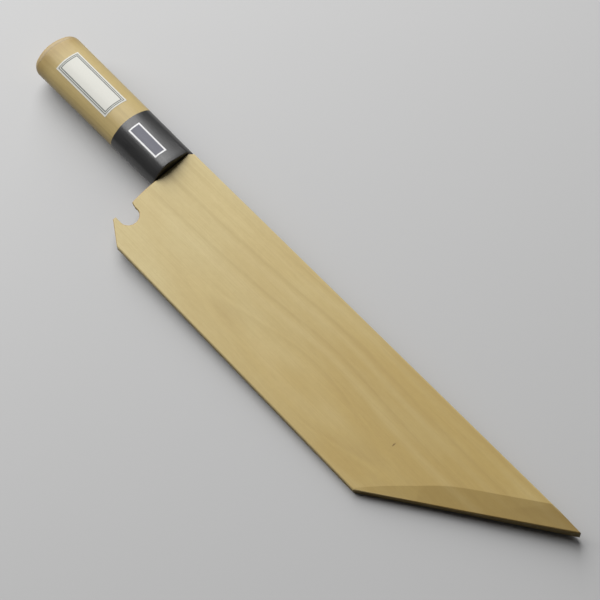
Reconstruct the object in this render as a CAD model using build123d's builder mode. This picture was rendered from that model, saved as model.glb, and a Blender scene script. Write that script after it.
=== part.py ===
from build123d import *
from math import atan2, cos, hypot, radians, sin
import os

os.makedirs("parts", exist_ok=True)

# A wide kitchen knife lying in its wooden blade guard.
# While it is built, X runs along the spine from the mouth of the guard to its tip,
# Y runs from the cutting edge to the spine, and Z stands up through the flat of the blade.
# The spine face of the guard is Y = 0 and the middle of the blade slot is Z = 0.
# At the end everything is laid down on the table it rests on.

# Outline of the guard
guard_length = 287.0
guard_width = 64.8
slant_length = 90.0
corner_clip = 2.4
mouth_bend_start = 28.0
mouth_setback = 2.3

# Heel notch, and the horn that is left beside it
notch_radius = 5.6
notch_centre_in = 5.9
notch_centre_up = 16.1
notch_entry_lean_degrees = 12.0
back_notch_rise = 2.2
horn_setback = 1.7
horn_flat = 1.9
horn_chamfer_length = 13.7

# Thickness of the guard and of the blade slot, each tapering from spine to edge
spine_thickness = 11.0
edge_thickness = 4.4
slot_at_spine = 4.4
slot_at_edge = 1.4

# Widths of the three strips that close the slot between the boards
spine_strip_width = 4.5
edge_strip_width = 5.6
tip_strip_width = 9.0

# Eased edges of the guard
long_edge_round = 0.9
face_round = 0.5
end_easing = 0.4

# Hand-planed facet along the slanted end: it widens from the corner, then runs parallel
facet_width = 11.0
facet_run_out = 43.0
facet_knee_length = 12.0
facet_lead_in = 11.0
facet_slope_at_corner = 0.11
facet_slope_at_tip = 0.24
facet_overcut = 2.0
knee_shares = (-1, -0.33, 0.33, 1)

# Blade
blade_side_clearance = 0.18
blade_rim_clearance = 0.6
neck_height = 16.0
heel_in = 13.0
heel_round = 1.0
neck_round = 6.0
edge_bevel_width = 17.0
end_bevel_width = 12.0
cutting_edge_land = 0.25
spine_easing = 0.4

# Tang, inside the handle
tang_length = 78.0
tang_shoulder = 2.6
tang_point_height = 6.0
tang_clearance = 0.06

# Handle and ferrule: one rounded D section with a soft ridge on the upper side
handle_length = 104.2
ferrule_length = 35.6
ferrule_gap = 0.2
handle_half_width = 14.0
belly_height = 11.2
flank_inset = 2.3
flank_height = 5.6
ridge_offset = 3.7
ridge_height = 10.4
ridge_round = 2.5
shoulder_inset = 3.7
shoulder_height = 7.0
crown_rise_at_front = 0.2
crown_rise_at_back = 1.3
butt_swell_share = 0.06
butt_round = 5.5
ferrule_easing = 0.4
ferrule_front_wall = 6.0
tenon_half_width = 10.3
tenon_half_height = 8.4
tenon_clearance = 0.05

# Paper labels
label_thickness = 0.12
handle_label_start = 46.2
handle_label_length = 42.4
handle_label_width = 15.3
handle_label_aside = 0.7
ferrule_label_start = 7.5
ferrule_label_length = 22.8
ferrule_label_width = 7.6
ferrule_label_aside = 1.2

# Angles
straight_up = 90.0
half_turn = 180.0

# Places that follow from the sizes above
end_corner = Vector(guard_length - slant_length, -guard_width)
guard_tip = Vector(guard_length, 0)
end_length = hypot(slant_length, guard_width)
end_angle = atan2(guard_width, slant_length)
end_along = Vector(cos(end_angle), sin(end_angle))
end_inward = Vector(-sin(end_angle), cos(end_angle))
blade_spine = -(spine_strip_width + blade_rim_clearance)
blade_edge = -(guard_width - edge_strip_width - blade_rim_clearance)
shinogi = blade_edge + edge_bevel_width
neck_underside = blade_spine - neck_height
handle_axis = blade_spine - neck_height / 2
tenon_front = -(ferrule_front_wall + ferrule_gap)
tang_end = tenon_front - tang_length


def outer_half(y):
    """Half thickness of the guard at a distance y from its spine face."""
    return (spine_thickness + (spine_thickness - edge_thickness) * y / guard_width) / 2


def slot_half(y):
    """Half thickness of the blade slot at the same place."""
    return (slot_at_spine + (slot_at_spine - slot_at_edge) * y / guard_width) / 2


def blade_half(y):
    """Half thickness of the flat part of the blade."""
    return slot_half(y) - blade_side_clearance


def neck_slot_half(y):
    """Half thickness of the slot in the front of the ferrule."""
    return blade_half(y) + tang_clearance


def end_line_x(y, inset):
    """Where a line parallel to the slanted end, inset from it, crosses the height y."""
    return end_corner.X + ((y - end_corner.Y) * end_inward.Y - inset) / sin(end_angle)


def layer(upper, lower, top, bottom):
    """Sketch a layer across the guard, from y = top down to y = bottom.
    Its upper face follows one half thickness, and its lower face the other, turned over."""
    with BuildSketch(Plane.YZ) as sketch:
        with BuildLine():
            Polyline(
                (top, upper(top)),
                (bottom, upper(bottom)),
                (bottom, -lower(bottom)),
                (top, -lower(top)),
                close=True,
            )
        make_face()
    return sketch.sketch


def board_layer():
    """Sketch everything that lies above the slot."""
    with BuildSketch(Plane.YZ) as sketch:
        with BuildLine():
            Polyline(
                (0, spine_thickness),
                (-guard_width, spine_thickness),
                (-guard_width, slot_half(-guard_width)),
                (0, slot_half(0)),
                close=True,
            )
        make_face()
    return sketch.sketch


def end_band(width):
    """Sketch the band along the slanted end, this wide."""
    with BuildSketch(Plane.XY) as sketch:
        with BuildLine():
            Polyline(
                (end_line_x(0, width), 0),
                (end_line_x(-guard_width, width), -guard_width),
                end_corner,
                guard_tip,
                close=True,
            )
        make_face()
    return sketch.sketch


def label_shell(front, back, start, length, width, aside):
    """A sheet of paper stuck on the part of the handle between x = front and x = back."""
    with BuildPart() as shell:
        loft([handle_section(x, label_thickness) for x in (front, back)], ruled=True)
        loft([handle_section(x) for x in (front, back)], ruled=True, mode=Mode.SUBTRACT)
        with BuildSketch(Plane.XY):
            with Locations((-start - length / 2, handle_axis - aside)):
                Rectangle(length, width)
        extrude(amount=belly_height + ridge_height, mode=Mode.INTERSECT)
    return shell.part


def notch_outline(rise=0):
    """Sketch the round heel notch with its open way in, moved towards the spine if asked."""
    lean = radians(notch_entry_lean_degrees)
    centre = Vector(notch_centre_in, notch_centre_up - guard_width + rise)
    entry_start = centre + Vector(-sin(lean), cos(lean)) * notch_radius
    entry_end = entry_start + Vector(-cos(lean), sin(lean)) * (notch_centre_in + notch_radius)
    notch_foot = centre - Vector(0, notch_radius)
    with BuildSketch(Plane.XY) as sketch:
        with BuildLine():
            CenterArc(
                centre,
                notch_radius,
                start_angle=-straight_up,
                arc_size=half_turn + notch_entry_lean_degrees,
            )
            Polyline(
                entry_start,
                entry_end,
                (entry_end.X, notch_foot.Y),
                notch_foot,
            )
        make_face()
    return sketch.sketch


def handle_size(x):
    """The handle swells a little towards the butt."""
    return 1 - butt_swell_share * x / handle_length


def handle_section(x, growth=0):
    """Sketch the D section of the handle at x, grown outwards or drawn in if asked.
    The top between ridge and shoulder is nearly flat in front and more crowned behind."""
    size = handle_size(x) * (1 + growth / handle_half_width)
    side = handle_half_width * size
    left = Vector(handle_axis - side, 0)
    flank = left + Vector(flank_inset, flank_height) * size
    ridge = Vector(handle_axis, 0) + Vector(-ridge_offset, ridge_height) * size
    right = Vector(handle_axis + side, 0)
    shoulder = right + Vector(-shoulder_inset, shoulder_height) * size
    towards_back = min(-x / ferrule_length, 1)
    crown_rise = crown_rise_at_front + (crown_rise_at_back - crown_rise_at_front) * towards_back
    across = (ridge - shoulder).normalized()
    crown = (ridge + shoulder) / 2 + Vector(across.Y, -across.X) * crown_rise * size
    with BuildSketch(Plane.YZ.offset(x)) as sketch:
        with BuildLine():
            EllipticalCenterArc(
                (handle_axis, 0),
                side,
                belly_height * size,
                start_angle=half_turn,
                arc_size=half_turn,
            )
            TangentArc(right, shoulder, tangent=(0, 1))
            ThreePointArc(shoulder, crown, ridge)
            side_arc = TangentArc(left, flank, tangent=(0, 1))
            TangentArc(flank, ridge, tangent=side_arc % 1)
        make_face()
        fillet(sketch.vertices().sort_by(Axis.Y)[-1], radius=ridge_round)
    return sketch.sketch


def bevel_section(along):
    """Sketch what is ground off the front of the blade at one station along its slanted end."""
    origin = blade_corner + end_along * along
    foot = cutting_edge_land - blade_half(origin.Y)
    head = foot + 2 * blade_half(blade_spine)
    with BuildSketch(Plane(origin=origin, x_dir=end_inward, z_dir=end_along)) as sketch:
        with BuildLine():
            Polyline(
                (-facet_overcut, foot),
                (0, foot),
                (end_bevel_width, head),
                (end_bevel_width, spine_thickness),
                (-facet_overcut, spine_thickness),
                close=True,
            )
        make_face()
    return sketch.sketch


def facet_width_at(along):
    """The facet widens evenly from the corner, bends over in a soft knee and then runs parallel."""
    knee_start = facet_run_out - facet_knee_length
    into_knee = min(max(along - knee_start, 0), 2 * facet_knee_length)
    past_knee = max(along - facet_run_out - facet_knee_length, 0)
    bent_off = into_knee**2 / (4 * facet_knee_length) + past_knee
    return facet_width * (along - bent_off) / facet_run_out


def facet_section(along):
    """Sketch what the plane takes off at one station along the slanted end.
    Its foot falls away steeply, which eases the edge between the facet and the end face."""
    station = min(max(along, 0), end_length) / end_length
    slope = facet_slope_at_corner + (facet_slope_at_tip - facet_slope_at_corner) * station
    width = facet_width_at(along)
    height = outer_half(end_corner.Y + along * sin(end_angle) + width * cos(end_angle))
    edge_height = height - slope * width
    outside = -facet_overcut
    inside = facet_width + facet_overcut
    origin = end_corner + end_along * along
    with BuildSketch(Plane(origin=origin, x_dir=end_inward, z_dir=end_along)) as sketch:
        with BuildLine():
            Polyline(
                (outside, edge_height - end_easing + outside),
                (end_easing, edge_height + slope * end_easing),
                (inside, edge_height + slope * inside),
                (inside, spine_thickness),
                (outside, spine_thickness),
                close=True,
            )
        make_face()
    return sketch.sketch


# Front end of the blade, set back inside the tip strip
blade_inset = tip_strip_width + blade_rim_clearance
blade_point = Vector(end_line_x(blade_spine, blade_inset), blade_spine)
blade_corner = Vector(end_line_x(blade_edge, blade_inset), blade_edge)

# The facet the plane leaves on the front, and its mirror image on the back
with BuildPart() as front_facet:
    knee_stations = [facet_run_out + facet_knee_length * share for share in knee_shares]
    stations = [-facet_lead_in, *knee_stations, end_length + facet_width]
    loft([facet_section(along) for along in stations], ruled=True)

back_facet = mirror(front_facet.part, about=Plane.XY)

# The guard as one outside shape, which the boards and strips are cut from
with BuildPart() as guard_shape:
    extrude(layer(outer_half, outer_half, 0, -guard_width), amount=guard_length)
    with BuildSketch(Plane.XY):
        with BuildLine():
            horn_corner_y = notch_centre_up - notch_radius - horn_flat - guard_width
            mouth_foot = Vector(mouth_setback, notch_centre_up - guard_width)
            Line((0, -corner_clip), (0, -mouth_bend_start))
            TangentArc((0, -mouth_bend_start), mouth_foot, tangent=(0, -1))
            Polyline(
                mouth_foot,
                (horn_setback, mouth_foot.Y),
                (horn_setback, horn_corner_y),
                (horn_setback + horn_chamfer_length, -guard_width),
                end_corner,
                guard_tip,
                (corner_clip, 0),
                (0, -corner_clip),
            )
        make_face()
        add(notch_outline(), mode=Mode.SUBTRACT)
    extrude(amount=spine_thickness, both=True, mode=Mode.INTERSECT)
    extrude(notch_outline(back_notch_rise), amount=-spine_thickness, mode=Mode.SUBTRACT)
    broad_edges = guard_shape.faces().sort_by(SortBy.AREA)[-2:].edges()
    fillet(broad_edges.filter_by(Axis.X).sort_by(Axis.Y)[:2], radius=long_edge_round)
    broad_edges = guard_shape.faces().sort_by(SortBy.AREA)[-2:].edges()
    fillet(broad_edges.sort_by(Axis.Y)[2:], radius=face_round)
    add(front_facet.part, mode=Mode.SUBTRACT)
    add(back_facet, mode=Mode.SUBTRACT)

# The two broad boards, one on each side of the blade
front_layer = extrude(board_layer(), amount=guard_length)

with BuildPart() as front_board:
    add(guard_shape.part)
    add(front_layer, mode=Mode.INTERSECT)

with BuildPart() as back_board:
    add(guard_shape.part)
    add(mirror(front_layer, about=Plane.XY, mode=Mode.PRIVATE), mode=Mode.INTERSECT)

# The three strips between the boards, which close the slot round the blade
with BuildPart() as spine_strip:
    add(guard_shape.part)
    spine_layer = layer(slot_half, slot_half, 0, -spine_strip_width)
    extrude(spine_layer, amount=guard_length, mode=Mode.INTERSECT)
    extrude(end_band(tip_strip_width), amount=spine_thickness, both=True, mode=Mode.SUBTRACT)

with BuildPart() as edge_strip:
    add(guard_shape.part)
    edge_layer = layer(slot_half, slot_half, edge_strip_width - guard_width, -guard_width)
    extrude(edge_layer, amount=guard_length, mode=Mode.INTERSECT)
    extrude(end_band(tip_strip_width), amount=spine_thickness, both=True, mode=Mode.SUBTRACT)

with BuildPart() as tip_strip:
    add(guard_shape.part)
    tip_layer = layer(slot_half, slot_half, 0, -guard_width)
    extrude(tip_layer, amount=guard_length, mode=Mode.INTERSECT)
    extrude(end_band(tip_strip_width), amount=spine_thickness, both=True, mode=Mode.INTERSECT)

# The blade: it thins towards the edge, is flat on the back, and is bevelled on the front
# from the shinogi line down to the cutting edge and again along the slanted end
with BuildPart() as end_bevel:
    loft([bevel_section(-end_bevel_width), bevel_section(end_length)], ruled=True)

with BuildPart() as blade:
    with BuildSketch(Plane.YZ.offset(tang_end)):
        with BuildLine():
            Polyline(
                (blade_spine - spine_easing, blade_half(blade_spine)),
                (shinogi, blade_half(shinogi)),
                (blade_edge, cutting_edge_land - blade_half(blade_edge)),
                (blade_edge, -blade_half(blade_edge)),
                (blade_spine - spine_easing, -blade_half(blade_spine)),
                (blade_spine, spine_easing - blade_half(blade_spine)),
                (blade_spine, blade_half(blade_spine) - spine_easing),
                close=True,
            )
        make_face()
    extrude(amount=guard_length - tang_end)
    with BuildSketch(Plane.XY) as blade_outline:
        with BuildLine():
            Polyline(
                (tang_end, handle_axis + tang_point_height / 2),
                (tenon_front, blade_spine - tang_shoulder),
                (tenon_front, blade_spine),
                blade_point,
                blade_corner,
                (heel_in, blade_edge),
                (heel_in, neck_underside),
                (tenon_front, neck_underside),
                (tenon_front, neck_underside + tang_shoulder),
                (tang_end, handle_axis - tang_point_height / 2),
                close=True,
            )
        make_face()
        neck_corner = blade_outline.vertices().sort_by_distance((heel_in, neck_underside))[0]
        fillet(neck_corner, radius=neck_round)
        heel_corner = blade_outline.vertices().sort_by_distance((heel_in, blade_edge))[0]
        fillet(heel_corner, radius=heel_round)
    extrude(amount=spine_thickness, both=True, mode=Mode.INTERSECT)
    add(end_bevel.part, mode=Mode.SUBTRACT)

# The ferrule: a cap bored from behind for the wooden tenon, slotted in front for the neck
with BuildPart() as ferrule:
    eased_rim = handle_section(-ferrule_gap, -ferrule_easing)
    full_rim = handle_section(-ferrule_gap - ferrule_easing)
    loft([eased_rim, full_rim, handle_section(-ferrule_length)], ruled=True)
    with BuildSketch(Plane.YZ.offset(-ferrule_length)):
        with Locations((handle_axis, 0)):
            Ellipse(tenon_half_width + tenon_clearance, tenon_half_height + tenon_clearance)
    extrude(amount=ferrule_length + tenon_front, mode=Mode.SUBTRACT)
    neck_top = blade_spine + tang_clearance
    neck_bottom = neck_underside - tang_clearance
    neck_layer = layer(neck_slot_half, neck_slot_half, neck_top, neck_bottom)
    extrude(neck_layer, amount=-ferrule_length, mode=Mode.SUBTRACT)

# The handle: the D-shaped grip, and the tenon that fills the ferrule, slotted for the tang
with BuildPart() as handle:
    loft([handle_section(-ferrule_length), handle_section(-handle_length)], ruled=True)
    fillet(handle.faces().sort_by(Axis.X)[0].edges(), radius=butt_round)
    with BuildSketch(Plane.YZ.offset(-ferrule_length)):
        with Locations((handle_axis, 0)):
            Ellipse(tenon_half_width, tenon_half_height)
    extrude(amount=ferrule_length + tenon_front - tenon_clearance)
    with BuildSketch(Plane.XY):
        with BuildLine():
            Polyline(
                (tang_end - tang_clearance, handle_axis + tang_point_height / 2 + tang_clearance),
                (tenon_front, blade_spine - tang_shoulder + tang_clearance),
                (tenon_front, neck_underside + tang_shoulder - tang_clearance),
                (tang_end - tang_clearance, handle_axis - tang_point_height / 2 - tang_clearance),
                close=True,
            )
        make_face()
    extrude(amount=neck_slot_half(blade_spine), both=True, mode=Mode.SUBTRACT)

# The two stickers
handle_label = label_shell(
    -ferrule_length,
    -handle_length,
    handle_label_start,
    handle_label_length,
    handle_label_width,
    handle_label_aside,
)
ferrule_label = label_shell(
    -ferrule_gap - ferrule_easing,
    -ferrule_length,
    ferrule_label_start,
    ferrule_label_length,
    ferrule_label_width,
    ferrule_label_aside,
)

# Laid on a table, the set touches it in three places: the front rim of the ferrule's belly,
# and the back of the guard at both ends of its planed facet, since the handle is the thicker
rim_rest_x = -ferrule_gap - ferrule_easing
rim_rest = Vector(rim_rest_x, handle_axis, -belly_height * handle_size(rim_rest_x))
corner_rest_y = long_edge_round - guard_width
corner_rest = Vector(end_corner.X, corner_rest_y, -outer_half(corner_rest_y))
spine_rest = Vector(end_line_x(-face_round, facet_width), -face_round, -outer_half(-face_round))
table_up = (corner_rest - rim_rest).cross(spine_rest - rim_rest).normalized()
table_along = Vector(1, 0, 0) - table_up * table_up.X
table = Plane(origin=rim_rest, x_dir=table_along, z_dir=table_up)

pieces = {
    "front_board": front_board.part,
    "back_board": back_board.part,
    "spine_strip": spine_strip.part,
    "edge_strip": edge_strip.part,
    "tip_strip": tip_strip.part,
    "blade": blade.part,
    "ferrule": ferrule.part,
    "handle": handle.part,
    "handle_label": handle_label,
    "ferrule_label": ferrule_label,
}
laid_pieces = {name: table.to_local_coords(piece) for name, piece in pieces.items()}

# The middle of the whole set, on the table top, becomes the origin
whole = Compound(list(laid_pieces.values())).bounding_box()
to_middle = Pos(-whole.center().X, -whole.center().Y, -whole.min.Z)

for name, piece in laid_pieces.items():
    placed = to_middle * piece
    placed.label = name
    export_step(placed, f"parts/{name}.step")
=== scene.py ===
# %% [markdown]
# # A broad kitchen knife in its wooden blade guard
#
# The guard is made of pale magnolia wood: two thin boards with three strips glued between them.
# The knife inside it has a D-shaped handle of the same wood and a black ferrule. All of these are
# already solid models, so this lesson is mostly about finishes: how bare planed wood, satin black,
# printed paper and ground steel are described by nodes that read where a point lies on the object.

# %% Load the solid model
from math import cos, radians, sin

import bmesh
import bpy
import numpy as np
from mathutils import Matrix


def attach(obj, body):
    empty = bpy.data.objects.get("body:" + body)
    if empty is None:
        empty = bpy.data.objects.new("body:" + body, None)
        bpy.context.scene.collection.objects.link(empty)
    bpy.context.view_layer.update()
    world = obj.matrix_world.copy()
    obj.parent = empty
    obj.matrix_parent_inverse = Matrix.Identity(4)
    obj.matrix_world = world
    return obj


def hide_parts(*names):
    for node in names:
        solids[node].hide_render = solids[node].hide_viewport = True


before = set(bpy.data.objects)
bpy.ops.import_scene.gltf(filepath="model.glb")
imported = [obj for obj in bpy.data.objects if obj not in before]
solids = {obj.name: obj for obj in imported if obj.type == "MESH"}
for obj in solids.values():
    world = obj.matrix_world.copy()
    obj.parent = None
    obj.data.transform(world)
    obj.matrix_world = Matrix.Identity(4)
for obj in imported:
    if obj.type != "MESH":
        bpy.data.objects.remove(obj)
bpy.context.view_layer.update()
print("solid pieces:", ", ".join(sorted(solids)))

# %% [markdown]
# ## Where things are
#
# The object was drawn with its own axes: x along the spine from the mouth of the guard to its tip,
# y from the cutting edge up to the spine, and z up through the flat. It lies on the table slightly
# nose down and rolled, because the handle is thicker than the guard. Every pattern below is
# written in those axes and in millimetres, so a ring or a printed line stays where it belongs.

# %% The knife's own axes
MM = 0.001

mouth_corner = (-91.317, 31.494, 12.234)
nose_down = radians(1.432)
rolled = radians(4.506)
guard_length = 287.0

tilt = Matrix.Rotation(nose_down, 3, "Y") @ Matrix.Rotation(rolled, 3, "X")
tilt = np.array(tilt)


def on_table(points):
    """Points in the knife's own axes and millimetres, given in the table's and in metres: they
    are turned by the tilt, moved by the place of the mouth corner, and scaled."""
    return (np.asarray(points) @ tilt.T + mouth_corner) * MM


print("tip of the guard:", on_table([guard_length, 0.0, 0.0]).round(4))

# %% [markdown]
# ## The camera
#
# The photograph was measured first: its straight edges give the focal length in pixels, how high
# the camera stood, which way it faced and how far away it was. A focal length in pixels becomes a
# lens in millimetres through the width of the picture and of the sensor.

# %% The camera
picture_pixels = 600
focal_pixels = 1685.8
camera_elevation = radians(60.616)
camera_turn = radians(47.691)
camera_roll = radians(0.412)
camera_aim = np.array([7.91, 19.95, 0.0]) * MM
camera_distance = 875.1 * MM
sensor_width = 36.0

level_right = np.array([cos(camera_turn), sin(camera_turn), 0.0])
level_away = np.array([-sin(camera_turn), cos(camera_turn), 0.0])
straight_up = np.array([0.0, 0.0, 1.0])
looking = cos(camera_elevation) * level_away - sin(camera_elevation) * straight_up
upright = sin(camera_elevation) * level_away + cos(camera_elevation) * straight_up
picture_right = cos(camera_roll) * level_right + sin(camera_roll) * upright
picture_up = cos(camera_roll) * upright - sin(camera_roll) * level_right

camera_data = bpy.data.cameras.new("camera")
camera_data.sensor_width = sensor_width
camera_data.lens = focal_pixels / picture_pixels * sensor_width
camera = bpy.data.objects.new("camera", camera_data)
placed = np.eye(4)
placed[:3, 0] = picture_right
placed[:3, 1] = picture_up
placed[:3, 2] = -looking
placed[:3, 3] = camera_aim - looking * camera_distance
camera.matrix_world = Matrix(placed.tolist())
bpy.context.scene.collection.objects.link(camera)
bpy.context.scene.camera = camera
print("lens in millimetres:", round(camera_data.lens, 1))

# %% [markdown]
# ## Small helpers for nodes
#
# A material is a graph of nodes. Small helpers keep each step of it short: they add a node and
# fill or link its inputs, do arithmetic, make a soft step, mix two colours, and give the position
# in the knife's own axes. Colours are written as they look on screen, from 0 to 255, and turned
# into the linear values that light is computed with.


# %% Node helpers
def paint(red, green, blue):
    """A screen colour as linear light: each share is raised by the screen's curve."""
    shares = np.array([red, green, blue]) / 255
    curved = np.where(shares > 0.04045, ((shares + 0.055) / 1.055) ** 2.4, shares / 12.92)
    return (*curved.tolist(), 1.0)


def add_node(tree, kind, inputs=None, **options):
    """Add a node: options are set on it, and inputs are linked to a socket or typed in."""
    made = tree.nodes.new("ShaderNode" + kind)
    for name, value in options.items():
        setattr(made, name, value)
    for key, value in (inputs or {}).items():
        if isinstance(value, bpy.types.NodeSocket):
            tree.links.new(value, made.inputs[key])
        else:
            made.inputs[key].default_value = value
    return made


def compute(tree, operation, *terms, clamp=False):
    """One step of arithmetic on numbers or sockets."""
    numbered = dict(enumerate(terms))
    return add_node(tree, "Math", numbered, operation=operation, use_clamp=clamp).outputs[0]


def ramp(tree, value, start, end, to_start=0.0, to_end=1.0):
    """A soft step: to_start below start, to_end above end, and a smooth rise between."""
    numbered = {0: value, 1: start, 2: end, 3: to_start, 4: to_end}
    made = add_node(tree, "MapRange", numbered, interpolation_type="SMOOTHSTEP")
    return made.outputs[0]


def blend(tree, share, low, high):
    """Mix two colours by a share: low at 0, high at 1."""
    made = add_node(tree, "Mix", data_type="RGBA")
    for slot, value in ((0, share), (6, low), (7, high)):
        if isinstance(value, bpy.types.NodeSocket):
            tree.links.new(value, made.inputs[slot])
        else:
            made.inputs[slot].default_value = value
    return made.outputs[2]


def knife_axes(tree, stretch=(1.0, 1.0, 1.0), shift=(0.0, 0.0, 0.0)):
    """The point's place along x, y and z of the knife in millimetres, stretched and shifted.
    A Mapping node of type TEXTURE undoes a scale, a turn and a move, so it goes from the
    table's axes back to the knife's own."""
    raw = add_node(tree, "TexCoord").outputs["Object"]
    own = add_node(
        tree,
        "Mapping",
        {
            "Vector": raw,
            "Location": [value * MM for value in mouth_corner],
            "Rotation": (rolled, nose_down, 0.0),
            "Scale": (MM, MM, MM),
        },
        vector_type="TEXTURE",
    ).outputs[0]
    return add_node(
        tree,
        "Mapping",
        {"Vector": own, "Location": shift, "Scale": stretch},
        vector_type="POINT",
    ).outputs[0]


def noise(tree, place, scale, detail=2.0, roughness=0.5):
    """Smooth random values from 0 to 1 with an average of a half."""
    inputs = {"Vector": place, "Scale": scale, "Detail": detail, "Roughness": roughness}
    return add_node(tree, "TexNoise", inputs, noise_dimensions="3D").outputs["Fac"]


def start_group(name, inputs, outputs):
    """An empty node group with named number inputs and named outputs."""
    tree = bpy.data.node_groups.new(name, "ShaderNodeTree")
    for label, value in inputs.items():
        socket = tree.interface.new_socket(label, in_out="INPUT", socket_type="NodeSocketFloat")
        socket.default_value = value
    for label in outputs:
        tree.interface.new_socket(label, in_out="OUTPUT", socket_type="NodeSocketFloat")
    given = tree.nodes.new("NodeGroupInput").outputs
    result = tree.nodes.new("NodeGroupOutput").inputs
    return tree, given, result


def use_group(tree, group, values):
    """Place a group in a material with its own values."""
    made = tree.nodes.new("ShaderNodeGroup")
    made.node_tree = group
    for label, value in values.items():
        made.inputs[label].default_value = value
    return made.outputs


def start_material(name):
    """An empty material with its surface shader."""
    material = bpy.data.materials.new(name)
    material.use_nodes = True
    tree = material.node_tree
    tree.nodes.clear()
    surface = tree.nodes.new("ShaderNodeBsdfPrincipled")
    output = tree.nodes.new("ShaderNodeOutputMaterial")
    tree.links.new(surface.outputs[0], output.inputs["Surface"])
    return material, tree, surface.inputs


def dress(name, material):
    """Give a solid piece its finish."""
    mesh = solids[name].data
    mesh.materials.clear()
    mesh.materials.append(material)


print("half of white on the screen is this much light:", round(paint(127.5, 0, 0)[0], 3))

# %% [markdown]
# ## Growth rings
#
# A tree grows a sleeve of wood each year, pale in spring and a little darker late in summer. A
# board is a flat cut through those sleeves. Where the cut runs nearly along the trunk it shows
# long lines, and where the trunk bends towards the cut it shows closed islands, as on the broad
# face of this guard. So the rings are computed in three dimensions: the distance from a pith
# below the board, which leans a little to the side and bends away at both ends, divided by the
# thickness of a year. The broad faces, the edges and the slanted end then agree with each other,
# as they do in real wood. Each year has its own tone, a pale band in its middle and a darker one
# at its end.

# %% Growth rings as a group
wander_reach = 1.6
spring_rises = (0.3, 0.52)
spring_falls = (0.56, 0.78)
late_rises = (0.72, 0.9)
late_falls = (0.9, 0.97)
faintest_ring = 0.25

rings, given, result = start_group(
    "growth rings",
    {
        "Pith along": 137.0,
        "Pith across": -46.3,
        "Pith depth": 10.0,
        "Lean": 0.02,
        "Bend": 0.0049,
        "Bend limit": 41.0,
        "Year": 9.9,
        "Turned over": 1.0,
    },
    ("Late wood", "Spring wood", "Year tone"),
)
place = add_node(rings, "SeparateXYZ", {0: knife_axes(rings)}).outputs
wander = noise(rings, knife_axes(rings, stretch=(0.012, 0.05, 0.05)), 1.0, detail=3.0)
along = compute(rings, "SUBTRACT", place[0], given["Pith along"])
along_squared = compute(rings, "MULTIPLY", along, along)
limit_squared = compute(rings, "MULTIPLY", given["Bend limit"], given["Bend limit"])
held_back = compute(rings, "ADD", compute(rings, "DIVIDE", along_squared, limit_squared), 1.0)
bend = compute(
    rings, "DIVIDE", compute(rings, "MULTIPLY", along_squared, given["Bend"]), held_back
)
height = compute(rings, "MULTIPLY", place[2], given["Turned over"])
down = compute(rings, "ADD", compute(rings, "ADD", height, given["Pith depth"]), bend)
leaning = compute(rings, "MULTIPLY", along, given["Lean"])
across = compute(rings, "SUBTRACT", place[1], given["Pith across"])
across = compute(rings, "SUBTRACT", across, leaning)
from_pith = compute(
    rings,
    "SQRT",
    compute(
        rings,
        "ADD",
        compute(rings, "MULTIPLY", down, down),
        compute(rings, "MULTIPLY", across, across),
    ),
)
wandering = compute(rings, "MULTIPLY", compute(rings, "SUBTRACT", wander, 0.5), wander_reach)
years = compute(rings, "DIVIDE", compute(rings, "ADD", from_pith, wandering), given["Year"])
within_year = compute(rings, "FRACT", years)
late = compute(
    rings,
    "MULTIPLY",
    ramp(rings, within_year, *late_rises),
    ramp(rings, within_year, *late_falls, 1.0, 0.0),
)
spring = compute(
    rings,
    "MULTIPLY",
    ramp(rings, within_year, *spring_rises),
    ramp(rings, within_year, *spring_falls, 1.0, 0.0),
)
strength = noise(rings, knife_axes(rings, stretch=(0.006, 0.09, 0.09), shift=(3.0, 1.0, 7.0)), 1.0)
visible = ramp(rings, strength, 0.32, 0.62, faintest_ring, 1.0)
rings.links.new(compute(rings, "MULTIPLY", late, visible), result["Late wood"])
rings.links.new(compute(rings, "MULTIPLY", spring, visible), result["Spring wood"])
year_number = compute(rings, "FLOOR", years)
year_tone = add_node(rings, "TexWhiteNoise", {"W": year_number}, noise_dimensions="1D").outputs[0]
rings.links.new(year_tone, result["Year tone"])
print("growth rings:", len(rings.nodes), "nodes")

# %% [markdown]
# ## Fibres and pores
#
# Between the rings, wood is a bundle of fibres that run along the trunk. On a face cut along them
# they show as fine streaks, and on the end of a board as fine dots, because the same noise is
# drawn out along one axis only. Magnolia also has tiny pores, seen as short fine dashes, and a
# faint mottle a few millimetres wide, like a fleece.

# %% Fibres and pores as a group
pore_depth = 0.5

fibres, given, result = start_group(
    "wood fibres",
    {"Fineness": 1.0, "Streak length": 60.0, "Trunk x": 1.0, "Trunk y": 0.0},
    ("Fibre", "Pore", "Mottle", "Cloud", "Relief"),
)
spot = add_node(fibres, "SeparateXYZ", {0: knife_axes(fibres)}).outputs
down_trunk = compute(
    fibres,
    "ADD",
    compute(fibres, "MULTIPLY", spot[0], given["Trunk x"]),
    compute(fibres, "MULTIPLY", spot[1], given["Trunk y"]),
)
beside_trunk = compute(
    fibres,
    "SUBTRACT",
    compute(fibres, "MULTIPLY", spot[1], given["Trunk x"]),
    compute(fibres, "MULTIPLY", spot[0], given["Trunk y"]),
)
thin = add_node(
    fibres,
    "CombineXYZ",
    {
        0: compute(fibres, "DIVIDE", down_trunk, given["Streak length"]),
        1: compute(fibres, "MULTIPLY", beside_trunk, given["Fineness"]),
        2: compute(fibres, "MULTIPLY", spot[2], given["Fineness"]),
    },
).outputs[0]
fine = noise(fibres, thin, 2.2, detail=6.0, roughness=0.62)
fibres.links.new(fine, result["Fibre"])
pore_noise = noise(fibres, knife_axes(fibres, stretch=(0.45, 5.5, 5.5)), 1.0, detail=1.0)
pores = ramp(fibres, pore_noise, 0.66, 0.76)
fibres.links.new(pores, result["Pore"])
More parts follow.
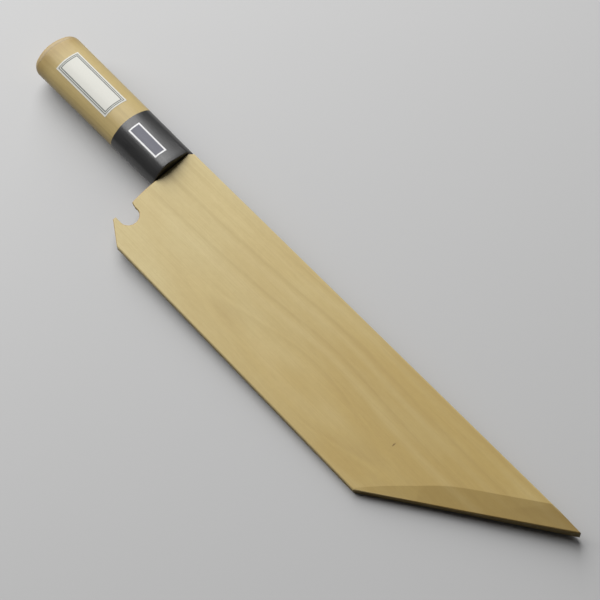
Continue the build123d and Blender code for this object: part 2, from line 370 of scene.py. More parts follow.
mottle = noise(
    fibres, knife_axes(fibres, stretch=(0.22, 0.42, 0.42)), 1.0, detail=4.0, roughness=0.65
)
fibres.links.new(ramp(fibres, mottle, 0.35, 0.65), result["Mottle"])
cloud = noise(fibres, knife_axes(fibres, stretch=(0.018, 0.05, 0.05)), 1.0, detail=3.0)
fibres.links.new(cloud, result["Cloud"])
relief = compute(fibres, "SUBTRACT", fine, compute(fibres, "MULTIPLY", pores, pore_depth))
fibres.links.new(relief, result["Relief"])
print("fibres and pores:", len(fibres.nodes), "nodes")

# %% [markdown]
# ## Painted highlights on the corners
#
# The eased corners of the guard catch the lamp as thin light lines, so they are painted a touch
# paler than the faces: a painted highlight.
# The guard's outline is four straight lines: the spine, the cutting edge, the slanted end and the
# mouth. The distance to each of them is simple arithmetic, and so is the distance to the nearer
# broad face. A point is close to a corner where both the nearest line and the face are close.

# %% Distance to the guard's outline as a group
guard_width = 64.8
slant_length = 90.0
spine_thickness = 11.0
edge_thickness = 4.4
mouth_margin = 0.4

outline, given, result = start_group("guard outline", {"Reach": 0.8}, ("Corner highlight",))
spot = add_node(outline, "SeparateXYZ", {0: knife_axes(outline)}).outputs
slant = np.hypot(slant_length, guard_width)
past_edge = compute(outline, "ADD", spot[1], guard_width)
from_slant = compute(
    outline,
    "SUBTRACT",
    compute(outline, "MULTIPLY", past_edge, slant_length / slant),
    compute(
        outline,
        "MULTIPLY",
        compute(outline, "SUBTRACT", spot[0], guard_length - slant_length),
        guard_width / slant,
    ),
)
below_spine = compute(outline, "MULTIPLY", spot[1], -1.0)
from_mouth = compute(outline, "ADD", spot[0], mouth_margin)
nearest = below_spine
for line_distance in (past_edge, from_slant, from_mouth):
    nearest = compute(outline, "MINIMUM", nearest, line_distance)
thinning = (spine_thickness - edge_thickness) / guard_width / 2
half_thickness = compute(
    outline, "ADD", compute(outline, "MULTIPLY", spot[1], thinning), spine_thickness / 2
)
depth = compute(outline, "SUBTRACT", half_thickness, compute(outline, "ABSOLUTE", spot[2]))
depth = compute(outline, "ABSOLUTE", depth)
nearest = compute(outline, "ABSOLUTE", nearest)
off_face = compute(outline, "MAXIMUM", depth, nearest)
close = compute(outline, "DIVIDE", off_face, given["Reach"])
# Painted highlight: the corner mask lightens the wood where a lit eased edge would be.
corner_highlight = compute(outline, "SUBTRACT", 1.0, close, clamp=True)
outline.links.new(corner_highlight, result["Corner highlight"])
print("guard outline:", len(outline.nodes), "nodes")

# %% [markdown]
# ## Grain cut across
#
# Where a face cuts the fibres across, their open ends drink more light and oil, so the wood looks
# deeper there. How much a face is cut across is how far its normal points along the trunk. Even a
# few degrees darken the wood, where the fibres run out of the face, as on the hand-planed facet
# along the slanted end: partly real run-out, and partly painted shade that stands in for the facet
# turning away from the lamp.

# %% Grain cut across as a group
run_out_from = 0.05
run_out_full = 0.14

cut_across, given, result = start_group(
    "grain cut across",
    {"From": 0.2, "To": 0.85, "Trunk x": 1.0, "Trunk y": 0.0},
    ("Run-out and facet shade", "Cut across"),
)
facing = add_node(cut_across, "TexCoord").outputs["Normal"]
along_trunk = 0.0
for axis, label in ((0, "Trunk x"), (1, "Trunk y")):
    facing_axis = add_node(
        cut_across,
        "VectorMath",
        {0: facing, 1: tilt[:, axis].tolist()},
        operation="DOT_PRODUCT",
    ).outputs["Value"]
    weighted = compute(cut_across, "MULTIPLY", facing_axis, given[label])
    along_trunk = compute(cut_across, "ADD", weighted, along_trunk)
along_trunk = compute(cut_across, "ABSOLUTE", along_trunk)
# Partly real run-out, partly painted shade: the leaning planed facet is darkened.
run_out_and_facet_shade = ramp(cut_across, along_trunk, run_out_from, run_out_full)
cut_across.links.new(run_out_and_facet_shade, result["Run-out and facet shade"])
cut_across.links.new(
    ramp(cut_across, along_trunk, given["From"], given["To"]), result["Cut across"]
)
print("grain cut across:", len(cut_across.nodes), "nodes")

# %% [markdown]
# ## A fleck and a painted falloff of light
#
# A real board has a small dark fleck where a bud once grew. A fleck is a place where the distance
# to its middle is small, measured with its own length and width and frayed by noise, in the front
# half of the guard only. The tone also changes slowly along the piece, a soft step along x: this is
# painted shade, which darkens the wood where the lamp's light and sheen fall off.

# %% A fleck and a painted falloff of light as groups
fleck_full_within = 0.7
fleck_gone_beyond = 1.6

fleck_group, given, result = start_group(
    "fleck",
    {"Along": 193.9, "Across": -34.6, "Half length": 0.55, "Half width": 1.5},
    ("Fleck",),
)
spot = add_node(fleck_group, "SeparateXYZ", {0: knife_axes(fleck_group)}).outputs
fraying = noise(fleck_group, knife_axes(fleck_group, stretch=(2.0, 2.0, 2.0)), 1.0, detail=4.0)
squares = []
for axis, middle, half in ((0, "Along", "Half length"), (1, "Across", "Half width")):
    offset = compute(fleck_group, "SUBTRACT", spot[axis], given[middle])
    offset = compute(fleck_group, "DIVIDE", offset, given[half])
    squares.append(compute(fleck_group, "MULTIPLY", offset, offset))
distance = compute(fleck_group, "SQRT", compute(fleck_group, "ADD", *squares))
frayed = compute(fleck_group, "ADD", distance, fraying)
fleck_mask = ramp(fleck_group, frayed, fleck_full_within, fleck_gone_beyond, 1.0, 0.0)
front_half = ramp(fleck_group, spot[2], 0.0, 1.0)
fleck_group.links.new(compute(fleck_group, "MULTIPLY", fleck_mask, front_half), result["Fleck"])

# Painted shade: a soft step along x darkens the wood, standing in for light that falls off along
# the piece.
painted_falloff, given, result = start_group("painted_falloff", {"Lightest at": 0.0, "Darkest at": 200.0}, ("Painted shade",))
spot = add_node(painted_falloff, "SeparateXYZ", {0: knife_axes(painted_falloff)}).outputs
lightest_to_darkest = compute(painted_falloff, "SUBTRACT", given["Darkest at"], given["Lightest at"])
on_the_way = compute(
    painted_falloff, "DIVIDE", compute(painted_falloff, "SUBTRACT", spot[0], given["Lightest at"]), lightest_to_darkest
)
painted_falloff.links.new(ramp(painted_falloff, on_the_way, 0.0, 1.0), result["Painted shade"])
print("fleck:", len(fleck_group.nodes), "nodes, ageing:", len(painted_falloff.nodes), "nodes")

# %% [markdown]
# ## Wood finishes
#
# Every wooden piece gets the same recipe with its own numbers: a pale and a deeper tone mixed by a
# slow cloud and by a painted falloff of light along the piece, then layers over it for the years,
# fine fibres and pores, a fleck, grain that is cut across, painted shade on the planed facet, and
# painted highlights at the corners. The wood is bare, so its gloss is wide and weak, and the fibres
# give it a very low relief.

# %% A recipe for bare wood
cloud_depth = 0.18
fleck_brown = paint(104, 78, 44)
fibre_roughness = 0.1
end_grain_roughness = 0.25
wood_relief_strength = 0.3
wood_mirror = 0.33


def bare_wood(name, tones, year_values, grain_values, shaded_between, gloss, relief_mm, trunk=(1, 0)):
    """Bare wood: light to deep and shaded along the piece by painted shade, darker in late wood, in
    fibres and in pores, deeper where the grain is cut across and in painted shade on the facet, and
    paler in spring wood and in painted highlights at the corners."""
    light_tone, deep_and_shaded, late, pale_and_highlight = tones
    trunk_values = {"Trunk x": float(trunk[0]), "Trunk y": float(trunk[1])}
    material, tree, surface = start_material(name)
    year = use_group(tree, rings, year_values)
    grain = use_group(tree, fibres, {**grain_values, **trunk_values})
    edge = use_group(tree, outline, {})
    cut = use_group(tree, cut_across, trunk_values)
    bud = use_group(tree, fleck_group, {})
    falloff_shade = use_group(tree, painted_falloff, dict(zip(("Lightest at", "Darkest at"), shaded_between)))["Painted shade"]

    cloudy = ramp(tree, grain["Cloud"], 0.3, 0.7, -cloud_depth, cloud_depth)
    # The deeper tone takes the painted shade of the falloff as well as the cloud.
    body = blend(tree, compute(tree, "ADD", falloff_shade, cloudy, clamp=True), light_tone, deep_and_shaded)
    layers = (
        (year["Year tone"], 0.09, late),
        (year["Spring wood"], 0.22, pale_and_highlight),
        (year["Late wood"], 0.2, late),
        (grain["Mottle"], 0.08, late),
        (ramp(tree, grain["Fibre"], 0.35, 0.7), 0.17, late),
        (grain["Pore"], 0.18, late),
        (bud["Fleck"], 0.75, fleck_brown),
        # Painted shade on the planed facet, partly real run-out of the fibres.
        (cut["Run-out and facet shade"], 0.85, late),
        (cut["Cut across"], 0.7, late),
        # Painted highlight: the corners are lightened towards the pale tone.
        (edge["Corner highlight"], 0.75, pale_and_highlight),
    )
    for mask, strength, tone in layers:
        body = blend(tree, compute(tree, "MULTIPLY", mask, strength), body, tone)
    tree.links.new(body, surface["Base Color"])

    rough = gloss
    for mask, share in (
        (grain["Fibre"], fibre_roughness),
        (cut["Cut across"], end_grain_roughness),
    ):
        rough = compute(tree, "ADD", compute(tree, "MULTIPLY", mask, share), rough)
    tree.links.new(rough, surface["Roughness"])
    bump = add_node(
        tree,
        "Bump",
        {
            "Strength": wood_relief_strength,
            "Distance": relief_mm * MM,
            "Height": grain["Relief"],
        },
    )
    tree.links.new(bump.outputs[0], surface["Normal"])
    surface["Specular IOR Level"].default_value = wood_mirror
    return material


# %% The wooden pieces
# Each set of tones is given as light, deep and shaded, late wood, and pale for spring wood and
# painted corner highlights. Where a set of values is left empty, a group keeps its own, which are
# those of the front board.
board_tones = (
    paint(204, 187, 134),
    paint(190, 164, 101),
    paint(158, 131, 79),
    paint(214, 196, 145),
)
strip_tones = (
    paint(192, 171, 120),
    paint(184, 160, 104),
    paint(150, 125, 78),
    paint(206, 188, 138),
)
grip_tones = (
    paint(192, 171, 117),
    paint(168, 142, 89),
    paint(137, 117, 75),
    paint(198, 178, 126),
)
# Painted shade: the guard is darkened towards its tip, and the handle towards the rounding of its
# butt.
guard_shade_span = (-20.0, 230.0)
handle_shade_span = (-86.0, -104.0)
back_years = {
    "Pith along": 60.0,
    "Pith across": -20.0,
    "Pith depth": 14.0,
    "Year": 7.0,
    "Turned over": -1.0,
}
strip_years = {"Pith along": 100.0, "Pith across": 40.0, "Pith depth": 30.0, "Year": 3.4}
handle_years = {
    "Pith along": -60.0,
    "Pith across": -40.0,
    "Pith depth": 30.0,
    "Bend": 0.0008,
    "Year": 5.5,
}
strip_grain = {"Fineness": 1.4}
handle_grain = {"Fineness": 1.3}
slant_trunk = (slant_length / slant, guard_width / slant)

planed = {"gloss": 0.36, "relief_mm": 0.02}
sawn = {"gloss": 0.42, "relief_mm": 0.03}
polished = {"gloss": 0.34, "relief_mm": 0.015}

front_wood = bare_wood("front board magnolia", board_tones, {}, {}, guard_shade_span, **planed)
back_wood = bare_wood("back board magnolia", board_tones, back_years, {}, guard_shade_span, **planed)
strip_wood = bare_wood(
    "strip magnolia", strip_tones, strip_years, strip_grain, guard_shade_span, **sawn
)
tip_wood = bare_wood(
    "tip strip magnolia",
    strip_tones,
    strip_years,
    strip_grain,
    guard_shade_span,
    trunk=slant_trunk,
    **sawn,
)
handle_wood = bare_wood(
    "handle magnolia", grip_tones, handle_years, handle_grain, handle_shade_span, **polished
)
for name, wood in (
    ("front_board", front_wood),
    ("back_board", back_wood),
    ("spine_strip", strip_wood),
    ("edge_strip", strip_wood),
    ("tip_strip", tip_wood),
):
    dress(name, wood)
    print(name, "is made of", wood.name)

# %% [markdown]
# ## Black ferrule
#
# The ferrule is black and has a satin polish: a dark body colour, a medium gloss, and fine lines
# left by the last abrasive. The lines run along the handle. They vary the gloss, and a bump of a
# hundredth of a millimetre lets them scatter a reflection a little.

# %% Satin black
glossiest = 0.24
dullest = 0.35
smear_roughness = 0.06
line_depth = 0.01 * MM
black_mirror = 0.8

ferrule_black, tree, surface = start_material("satin black")
lines = noise(tree, knife_axes(tree, stretch=(0.03, 9.0, 9.0)), 1.0, detail=4.0, roughness=0.7)
smear = noise(tree, knife_axes(tree, stretch=(0.12, 0.2, 0.2)), 1.0, detail=4.0)
black = blend(tree, smear, paint(11, 11, 12), paint(17, 16, 16))
tree.links.new(black, surface["Base Color"])
rough = compute(
    tree,
    "ADD",
    ramp(tree, lines, 0.3, 0.7, glossiest, dullest),
    compute(tree, "MULTIPLY", smear, smear_roughness),
)
tree.links.new(rough, surface["Roughness"])
bump = add_node(tree, "Bump", {"Strength": 0.35, "Distance": line_depth, "Height": lines})
tree.links.new(bump.outputs[0], surface["Normal"])
surface["Specular IOR Level"].default_value = black_mirror
print("satin black:", len(tree.nodes), "nodes")

# %% [markdown]
# ## Printed labels
#
# Both labels are bare but for a printed frame. A frame is drawn from the distance to the nearest
# edge of the rectangle: a line is where that distance lies between two values. Paper has a soft
# mottle and almost no gloss, and the ink sinks into it. Of the numbers below, the front is how
# far behind the mouth a label begins, and aside is how far it lies from the middle of the handle.
# The same numbers shape the sheets further on.

# %% A printed frame
handle_axis = -13.1
handle_label_place = {"front": 46.2, "length": 42.4, "width": 15.3, "aside": 0.7}
ferrule_label_place = {"front": 7.5, "length": 22.8, "width": 7.6, "aside": 1.2}


def inside_label(tree, front, length, width, aside):
    """Distance in millimetres from the nearest edge of a label, measured inwards."""
    point = add_node(tree, "SeparateXYZ", {0: knife_axes(tree)}).outputs
    middle = -front - length / 2
    lengthwise = compute(tree, "ABSOLUTE", compute(tree, "SUBTRACT", point[0], middle))
    sideways = compute(tree, "ABSOLUTE", compute(tree, "SUBTRACT", point[1], handle_axis - aside))
    return compute(
        tree,
        "MINIMUM",
        compute(tree, "SUBTRACT", length / 2, lengthwise),
        compute(tree, "SUBTRACT", width / 2, sideways),
    )


def band(tree, distance, start, end, softness=0.05):
    """1 where a distance lies between start and end, with a soft rim."""
    rise = ramp(tree, distance, start - softness, start + softness)
    fall = ramp(tree, distance, end - softness, end + softness, 1.0, 0.0)
    return compute(tree, "MULTIPLY", rise, fall)


for place in (handle_label_place, ferrule_label_place):
    print("a label of", place["length"], "by", place["width"], "mm")

# %% The paper label on the handle
outer_line = (0.85, 1.35)
inner_line = (1.75, 2.35)
ink_cover = (0.7, 0.95)
paper_relief = 0.02 * MM

paper, tree, surface = start_material("label paper")
inwards = inside_label(tree, **handle_label_place)
fuzz = noise(tree, knife_axes(tree, stretch=(1.6, 1.6, 1.6)), 1.0, detail=6.0, roughness=0.7)
sheet = blend(tree, fuzz, paint(206, 205, 196), paint(219, 218, 211))
frame_lines = compute(
    tree, "ADD", band(tree, inwards, *outer_line), band(tree, inwards, *inner_line), clamp=True
)
ink = compute(tree, "MULTIPLY", frame_lines, ramp(tree, fuzz, 0.2, 0.6, *ink_cover))
tree.links.new(blend(tree, ink, sheet, paint(88, 95, 91)), surface["Base Color"])
surface["Roughness"].default_value = 0.7
bump = add_node(tree, "Bump", {"Strength": 0.3, "Distance": paper_relief, "Height": fuzz})
tree.links.new(bump.outputs[0], surface["Normal"])
print("label paper:", len(tree.nodes), "nodes")

# %% The small sticker on the ferrule
white_rim_ends = (0.85, 0.95)

film, tree, surface = start_material("sticker film")
inwards = inside_label(tree, **ferrule_label_place)
speck = noise(tree, knife_axes(tree, stretch=(2.5, 2.5, 2.5)), 1.0, detail=3.0)
field = blend(tree, speck, paint(74, 75, 86), paint(92, 93, 106))
white_rim = ramp(tree, inwards, *white_rim_ends, 1.0, 0.0)
tree.links.new(blend(tree, white_rim, field, paint(232, 232, 232)), surface["Base Color"])
surface["Roughness"].default_value = 0.42
print("sticker film:", len(tree.nodes), "nodes")

# %% [markdown]
# ## Ground steel
#
# The blade is out of sight until it is drawn. Its front is ground along bevels, which are finer
# and brighter than the flat above them, and the grinding lines run from the spine to the edge. A
# bevel is where the surface leans a few degrees away from the flat. Steel is a metal: its colour
# is that of its reflection, and fine lines drawn across the blade spread that reflection so
# widely that part of it behaves like the light from a matt surface.

# %% The blade's steel
flat_within = cos(radians(2.5))
bevel_beyond = cos(radians(3.5))
metal_share = 0.75
finest = 0.38
coarsest = 0.52
finer_on_bevel = -0.1
scratch_depth = 0.01 * MM
most_stained = 0.25

steel, tree, surface = start_material("ground steel")
facing = add_node(tree, "TexCoord").outputs["Normal"]
upright_share = add_node(
    tree, "VectorMath", {0: facing, 1: tilt[:, 2].tolist()}, operation="DOT_PRODUCT"
).outputs["Value"]
leaning = ramp(tree, upright_share, bevel_beyond, flat_within, 1.0, 0.0)
on_bevel = compute(tree, "MULTIPLY", leaning, ramp(tree, upright_share, 0.3, 0.6))
ground = noise(tree, knife_axes(tree, stretch=(7.0, 0.05, 0.05)), 1.0, detail=5.0, roughness=0.7)
stain = noise(tree, knife_axes(tree, stretch=(0.05, 0.08, 0.08)), 1.0, detail=4.0)
flat_tone = blend(tree, ground, paint(146, 148, 151), paint(176, 178, 180))
bevel_tone = blend(tree, ground, paint(198, 200, 202), paint(220, 221, 223))
bright = blend(tree, on_bevel, flat_tone, bevel_tone)
stained = ramp(tree, stain, 0.55, 0.8, 0.0, most_stained)
tree.links.new(blend(tree, stained, bright, paint(140, 136, 130)), surface["Base Color"])
surface["Metallic"].default_value = metal_share
scratched = ramp(tree, ground, 0.3, 0.7, finest, coarsest)
smoother = compute(tree, "MULTIPLY", on_bevel, finer_on_bevel)
tree.links.new(compute(tree, "ADD", scratched, smoother), surface["Roughness"])
bump = add_node(tree, "Bump", {"Strength": 0.2, "Distance": scratch_depth, "Height": ground})
tree.links.new(bump.outputs[0], surface["Normal"])
dress("blade", steel)
print("ground steel:", len(tree.nodes), "nodes")

# %% [markdown]
# ## The grip as one smooth skin
#
# Handle and ferrule share one cross section: a round belly, two upright sides, and a top that is
# a shallow arch from the right shoulder to a soft ridge left of the middle. The solid models of
# both are right in size but made of flat facets, which show in a satin polish. Here the same
# section is written as a chain of curves, evaluated for all stations along the grip at once, and
# every ring of points is joined to the next. The result is as smooth as the curves themselves.


# %% Arcs that leave a point in a known direction
def leaving_arc(start, direction, end, shares):
    """Points on the circle that leaves start along direction and reaches end.
    The circle turns by twice the angle between its chord and its first direction. Its radius
    is the squared chord over twice the part of the chord that is square to that direction."""
    chord = end - start
    square = np.stack([-direction[:, 1], direction[:, 0]], axis=-1)
    rise = (chord * square).sum(axis=-1)
    run = (chord * direction).sum(axis=-1)
    turn = 2 * np.arctan2(rise, run)
    radius = ((chord**2).sum(axis=-1) / (2 * rise))[:, None, None]
    angle = turn[:, None, None] * shares[None, :, None]
    points = start[:, None] + radius * (
        np.sin(angle) * direction[:, None] + (1 - np.cos(angle)) * square[:, None]
    )
    last = np.cos(turn)[:, None] * direction + np.sin(turn)[:, None] * square
    return points, last


start, upwards, far_corner = np.array([[[0.0, 0.0]], [[0.0, 1.0]], [[1.0, 1.0]]])
_, heading = leaving_arc(start, upwards, far_corner, np.linspace(0, 1, 3))
print("an arc that leaves upwards and ends as far right as up is heading", heading.round(3))

# %% The cross section of the grip
handle_length = 104.2
ferrule_length = 35.6
half_width = 14.0
belly_height = 11.2
flank = np.array([2.3, 5.6])
ridge = np.array([-3.7, 10.4])
shoulder = np.array([-3.7, 7.0])
crown_rise_at_front = 0.35
crown_rise_at_back = 1.3
swell_share = 0.06
ridge_share = 0.12

belly_points = 61
side_points = 25
crown_points = 41
rise_points = 13
ridge_points = 13


def grip_profile(x, growth=0.0):
    """Rings of (y, z) round the grip for an array of stations x, grown outwards if asked.
    All corners scale with the swell. The belly is half an ellipse, each side an arc that
    starts upright, the crown an arc raised in its middle, and the ridge is rounded by a
    curve that is pulled towards it from both neighbouring arcs."""
    x = np.asarray(x, dtype=float)
    size = (1 - swell_share * x / handle_length) * (1 + growth / half_width)
    size = size[:, None]
    middle = np.array([handle_axis, 0.0])
    left = middle - size * [half_width, 0.0]
    right = middle + size * [half_width, 0.0]
    flank_end = left + size * flank
    ridge_top = middle + size * ridge
    shoulder_end = right + size * shoulder
    upwards = np.broadcast_to([0.0, 1.0], left.shape)

    steps = np.linspace(0, 1, side_points)
    round_belly = np.pi * (1 + np.linspace(0, 1, belly_points))[:, None]
    belly = middle + size[:, None] * np.concatenate(
        [half_width * np.cos(round_belly), belly_height * np.sin(round_belly)], axis=-1
    )
    right_side, _ = leaving_arc(right, upwards, shoulder_end, steps)
    left_side, flank_direction = leaving_arc(left, upwards, flank_end, steps)

    towards_back = np.clip(-x / ferrule_length, 0, 1)[:, None]
    rise = size * (crown_rise_at_front + (crown_rise_at_back - crown_rise_at_front) * towards_back)
    chord = ridge_top - shoulder_end
    width = np.linalg.norm(chord, axis=-1, keepdims=True)
    lean = -2 * np.arctan2(rise, width / 2)
    across = chord / width
    crown_direction = np.concatenate(
        [
            across[:, :1] * np.cos(lean) - across[:, 1:] * np.sin(lean),
            across[:, :1] * np.sin(lean) + across[:, 1:] * np.cos(lean),
        ],
        axis=-1,
    )
    crown, _ = leaving_arc(
        shoulder_end, crown_direction, ridge_top, np.linspace(0, 1 - ridge_share, crown_points)
    )
    rise_side, _ = leaving_arc(
        flank_end, flank_direction, ridge_top, np.linspace(0, 1 - 2 * ridge_share, rise_points)
    )
    share = np.linspace(0, 1, ridge_points)[None, 1:-1, None]
    ridge_curve = (
        (1 - share) ** 2 * crown[:, -1:]
        + 2 * share * (1 - share) * ridge_top[:, None]
        + share**2 * rise_side[:, -1:]
    )
    return np.concatenate(
        [
            belly,
            right_side[:, 1:],
            crown[:, 1:],
            ridge_curve,
            rise_side[:, ::-1],
            left_side[:, -2:0:-1],
        ],
        axis=1,
    )


def stand(x, profile):
    """Give each ring of (y, z) its own x."""
    x = np.broadcast_to(np.asarray(x, dtype=float)[:, None], profile.shape[:2])
    return np.concatenate([x[..., None], profile], axis=-1)


sample = grip_profile(np.array([0.0, -handle_length]))
print("points in a ring:", sample.shape[1])
print("width of the grip:", np.ptp(sample[..., 0], axis=1).round(1))

# %% [markdown]
# ## Rings into a skin
#
# A row of rings with the same number of points becomes a skin by joining each ring to the next
# with four-sided faces. The two ends are closed with one face each, or joined to each other
# where the skin turns back on itself, as on the ferrule, which is open right through.


# %% Skins from rings
smooth_up_to = radians(24)


def skin(name, rings, body, material, open_through=False):
    """Join rings, an array of rings by points by (x, y, z), into one closed smooth object.
    Each face has two neighbouring points of one ring and the same two of the next ring."""
    ring_count, point_count, _ = rings.shape
    number = np.arange(ring_count * point_count).reshape(ring_count, point_count)
    following = np.roll(number, -1, axis=1)
    if open_through:
        after, after_following = np.roll(number, -1, axis=0), np.roll(following, -1, axis=0)
        quads = np.stack([number, following, after_following, after], axis=-1)
    else:
        quads = np.stack([number[:-1], following[:-1], following[1:], number[1:]], axis=-1)
    faces = quads.reshape(-1, 4).tolist()
    if not open_through:
        faces += [number[0, ::-1].tolist(), number[-1].tolist()]
    mesh = bpy.data.meshes.new(name)
    mesh.from_pydata(on_table(rings.reshape(-1, 3)).tolist(), [], faces)
    made = bmesh.new()
    made.from_mesh(mesh)
    bmesh.ops.recalc_face_normals(made, faces=made.faces)
    made.to_mesh(mesh)
    made.free()
    mesh.shade_smooth()
    mesh.set_sharp_from_angle(angle=smooth_up_to)
    mesh.materials.append(material)
    piece = bpy.data.objects.new(name, mesh)
    bpy.context.scene.collection.objects.link(piece)
    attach(piece, body)
    print(name, "has", len(mesh.polygons), "faces")
    return piece


def round_ring(template, half_y, half_z):
    """A ring whose points lie in the same directions from the axis as a template's: half the
    width times the cosine of the direction, and half the height times its sine."""
    direction = np.arctan2(template[:, 1], template[:, 0] - handle_axis)
    return np.stack(
        [handle_axis + half_y * np.cos(direction), half_z * np.sin(direction)], axis=-1
    )


def slot_ring(template, half_height, half_thickness, taper=0.0):
    """A four-sided ring round the axis, in the same directions as a template's points. A ray
    from the axis ends where it first meets the top or bottom, or one of the two broad sides,
    which spread by the taper."""
    direction = np.arctan2(template[:, 1], template[:, 0] - handle_axis)
    along, up = np.cos(direction), np.sin(direction)
    to_ends = half_height / np.maximum(np.abs(along), 1e-6)
    to_sides = half_thickness / np.maximum(np.abs(up) - taper * along, 1e-6)
    reach = np.minimum(to_ends, to_sides)[:, None]
    return [handle_axis, 0.0] + reach * np.stack([along, up], axis=-1)


# %% [markdown]
# ## Handle
#
# The handle is one piece of wood: the grip with its rounded butt, and in front a tenon that sits
# in the ferrule and is slotted for the tang. The skin starts at the bottom of that slot, comes
# out of the tenon, steps out to the grip and ends on the flat of the butt.

# %% The handle's skin
tang_slot_end = -84.26
tang_slot_end_half_height = 3.1
tang_slot_half_height = 5.5
tenon_front = -6.25
tenon_half_width = 10.3
tenon_half_height = 8.4
slot_half_thickness = 1.96
butt_round = 5.5

grip_x = np.linspace(-ferrule_length, butt_round - handle_length, 30)
grip_rings = grip_profile(grip_x)
round_angle = np.linspace(0, np.pi / 2, 14)[1:]
butt_x = butt_round - handle_length - butt_round * np.sin(round_angle)
drawn_in = butt_round * (1 - np.cos(round_angle))
butt_rings = grip_profile(butt_x)
butt_reach = np.abs(butt_rings - [handle_axis, 0.0]).max(axis=1)
butt_scale = 1 - drawn_in[:, None] / butt_reach
butt_rings = [handle_axis, 0.0] + (butt_rings - [handle_axis, 0.0]) * butt_scale[:, None]

front_ring = grip_rings[0]
tenon_ring = round_ring(front_ring, tenon_half_width, tenon_half_height)
inner_rings = np.stack(
    [
        slot_ring(front_ring, tang_slot_end_half_height, slot_half_thickness),
        slot_ring(front_ring, tang_slot_half_height, slot_half_thickness),
        tenon_ring,
        tenon_ring,
    ]
)
inner_x = [tang_slot_end, tenon_front, tenon_front, -ferrule_length]
handle_rings = np.concatenate(
    [stand(inner_x, inner_rings), stand(grip_x, grip_rings), stand(butt_x, butt_rings)]
)
smooth_handle = skin("smooth_handle", handle_rings, "knife", handle_wood)
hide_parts("handle")

# %% [markdown]
# ## Ferrule
#
# The ferrule is a cap: bored from behind for the tenon and slotted in front for the neck of the
# blade. Its skin runs over the outside, back through the bore and out of the slot, so it closes
# on itself. The front rim is eased by a small quarter circle, which catches a thin light line.

# %% The ferrule's skin
ferrule_gap = 0.2
rim_easing = 0.4
bore_clearance = 0.05
bore_bottom = -6.2
neck_half_height = 8.1
neck_half_thickness = 1.78
neck_taper = 0.023

rim_angle = np.linspace(0, np.pi / 2, 6)
rim_x = -ferrule_gap - rim_easing * (1 - np.cos(rim_angle))
rim_growth = -rim_easing * (1 - np.sin(rim_angle))
outer_x = np.linspace(-ferrule_gap - rim_easing, -ferrule_length, 16)[1:]
bore_x = [-ferrule_length, bore_bottom, bore_bottom, -ferrule_gap]
bore_ring = round_ring(
    front_ring, tenon_half_width + bore_clearance, tenon_half_height + bore_clearance
)
neck_ring = slot_ring(front_ring, neck_half_height, neck_half_thickness, neck_taper)
bore_rings = np.stack([bore_ring, bore_ring, neck_ring, neck_ring])
ferrule_rings = np.concatenate(
    [
        stand(rim_x, grip_profile(rim_x, rim_growth)),
        stand(outer_x, grip_profile(outer_x)),
        stand(bore_x, bore_rings),
    ]
)
smooth_ferrule = skin(
    "smooth_ferrule", ferrule_rings, "knife", ferrule_black, open_through=True
)
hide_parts("ferrule")

# %% [markdown]
# ## The two labels
#
# A label is a thin sheet that follows the crown. Its rings are cut from the same section: across
# the label the height of the crown is read off, first a paper's thickness above the crown, and
# then back underneath, a hundredth of a millimetre above it.

# %% Sheets that lie on the crown
label_thickness = 0.12
label_gap = 0.01
points_across_label = 41


def label_rings(front, length, width, aside, stations):
    """Thin closed rings: the height of the section grown by the paper's thickness, between the
    label's two sides, and then the height of the section grown by the gap, the other way."""
    x = np.linspace(-front, -front - length, stations)
    half_across = np.linspace(-width / 2, width / 2, points_across_label)
    across = handle_axis - aside + half_across
    rings = []
    for growth, order in ((label_thickness, 1), (label_gap, -1)):
        profiles = grip_profile(x, growth)
        tops = profiles[:, belly_points:][:, ::-1]
        heights = np.array([np.interp(across, top[:, 0], top[:, 1]) for top in tops])
        widths = np.broadcast_to(across, heights.shape)
        rings.append(np.stack([widths, heights], axis=-1)[:, ::order])
    return stand(x, np.concatenate(rings, axis=1))


paper_rings = label_rings(**handle_label_place, stations=25)
paper_label = skin("paper_label", paper_rings, "knife", paper)
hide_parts("handle_label")
sticker_rings = label_rings(**ferrule_label_place, stations=15)
ferrule_sticker = skin("ferrule_sticker", sticker_rings, "knife", film)
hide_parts("ferrule_label")

# %% [markdown]
# ## Floor and light
#
# The stage is a plain pale floor and one large soft lamp behind the object, as in the photograph:
# its light skims over the guard, leaves the sides that face the camera in shade and is mirrored
# in the crown of the ferrule. The camera sees a pale floor and room, also where the ferrule and
# the blade mirror them, while the light that both throw back onto the object is kept low.

# %% The floor
floor_half = 3.0
floor_lighting = 0.07
floor_seen = 0.53


def grey(level):
    """A grey as linear light."""
    return (level, level, level, 1.0)


def seen_or_mirrored_by(tree):
    """1 for what the camera sees, itself or in a mirror or through glass, and 0 for the
    light that a surface throws onto others."""
    path = add_node(tree, "LightPath").outputs
    mirrored = compute(tree, "MAXIMUM", path["Is Glossy Ray"], path["Is Transmission Ray"])
    return compute(tree, "MAXIMUM", path["Is Camera Ray"], mirrored)


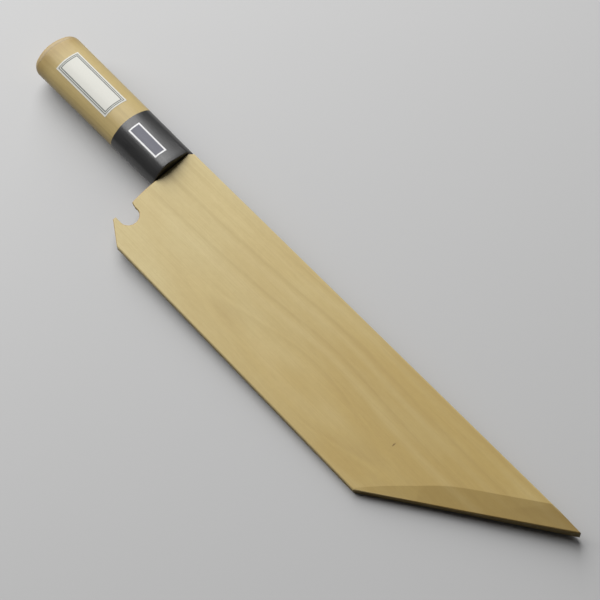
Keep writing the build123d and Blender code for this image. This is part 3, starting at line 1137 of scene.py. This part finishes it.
floor_mesh = bpy.data.meshes.new("floor")
corners = [(-1, -1, 0), (1, -1, 0), (1, 1, 0), (-1, 1, 0)]
floor_mesh.from_pydata((np.array(corners) * floor_half).tolist(), [], [(0, 1, 2, 3)])
floor = bpy.data.objects.new("floor", floor_mesh)
bpy.context.scene.collection.objects.link(floor)

floor_material = bpy.data.materials.new("pale floor")
floor_material.use_nodes = True
tree = floor_material.node_tree
tree.nodes.clear()
shade = blend(tree, seen_or_mirrored_by(tree), grey(floor_lighting), grey(floor_seen))
matt = add_node(tree, "BsdfDiffuse", {"Color": shade})
end = tree.nodes.new("ShaderNodeOutputMaterial")
tree.links.new(matt.outputs[0], end.inputs["Surface"])
floor_mesh.materials.append(floor_material)
print("side of the floor in metres:", 2 * floor_half)

# %% The lamp
lamp_centre = np.array([-1.045, 0.290, 1.126])
lamp_aim = np.array([2.042, 0.309, 0.422])
lamp_width = 1.98
lamp_height = 2.30
lamp_watts = 67.5

lamp_data = bpy.data.lights.new("softbox", "AREA")
lamp_data.shape = "RECTANGLE"
lamp_data.size = lamp_width
lamp_data.size_y = lamp_height
lamp_data.energy = lamp_watts
lamp = bpy.data.objects.new("softbox", lamp_data)
back = lamp_centre - lamp_aim
back /= np.linalg.norm(back)
side = np.cross(straight_up, back)
side /= np.linalg.norm(side)
turned = np.eye(4)
turned[:3, 0] = side
turned[:3, 1] = np.cross(back, side)
turned[:3, 2] = back
turned[:3, 3] = lamp_centre
lamp.matrix_world = Matrix(turned.tolist())
bpy.context.scene.collection.objects.link(lamp)
lamp_distance = float(np.linalg.norm(lamp_centre))
print("metres from the lamp to the middle of the object:", round(lamp_distance, 2))

# %% The room
room_lighting = 0.03
room_seen = 0.20

world = bpy.data.worlds.new("studio")
world.use_nodes = True
tree = world.node_tree
tree.nodes.clear()
shade = blend(tree, seen_or_mirrored_by(tree), grey(room_lighting), grey(room_seen))
room = add_node(tree, "Background", {"Color": shade, "Strength": 1.0})
end = tree.nodes.new("ShaderNodeOutputWorld")
tree.links.new(room.outputs[0], end.inputs["Surface"])
bpy.context.scene.world = world
bpy.context.scene.view_settings.view_transform = "Standard"
print("the room throws back", room_lighting, "and is seen as", room_seen)
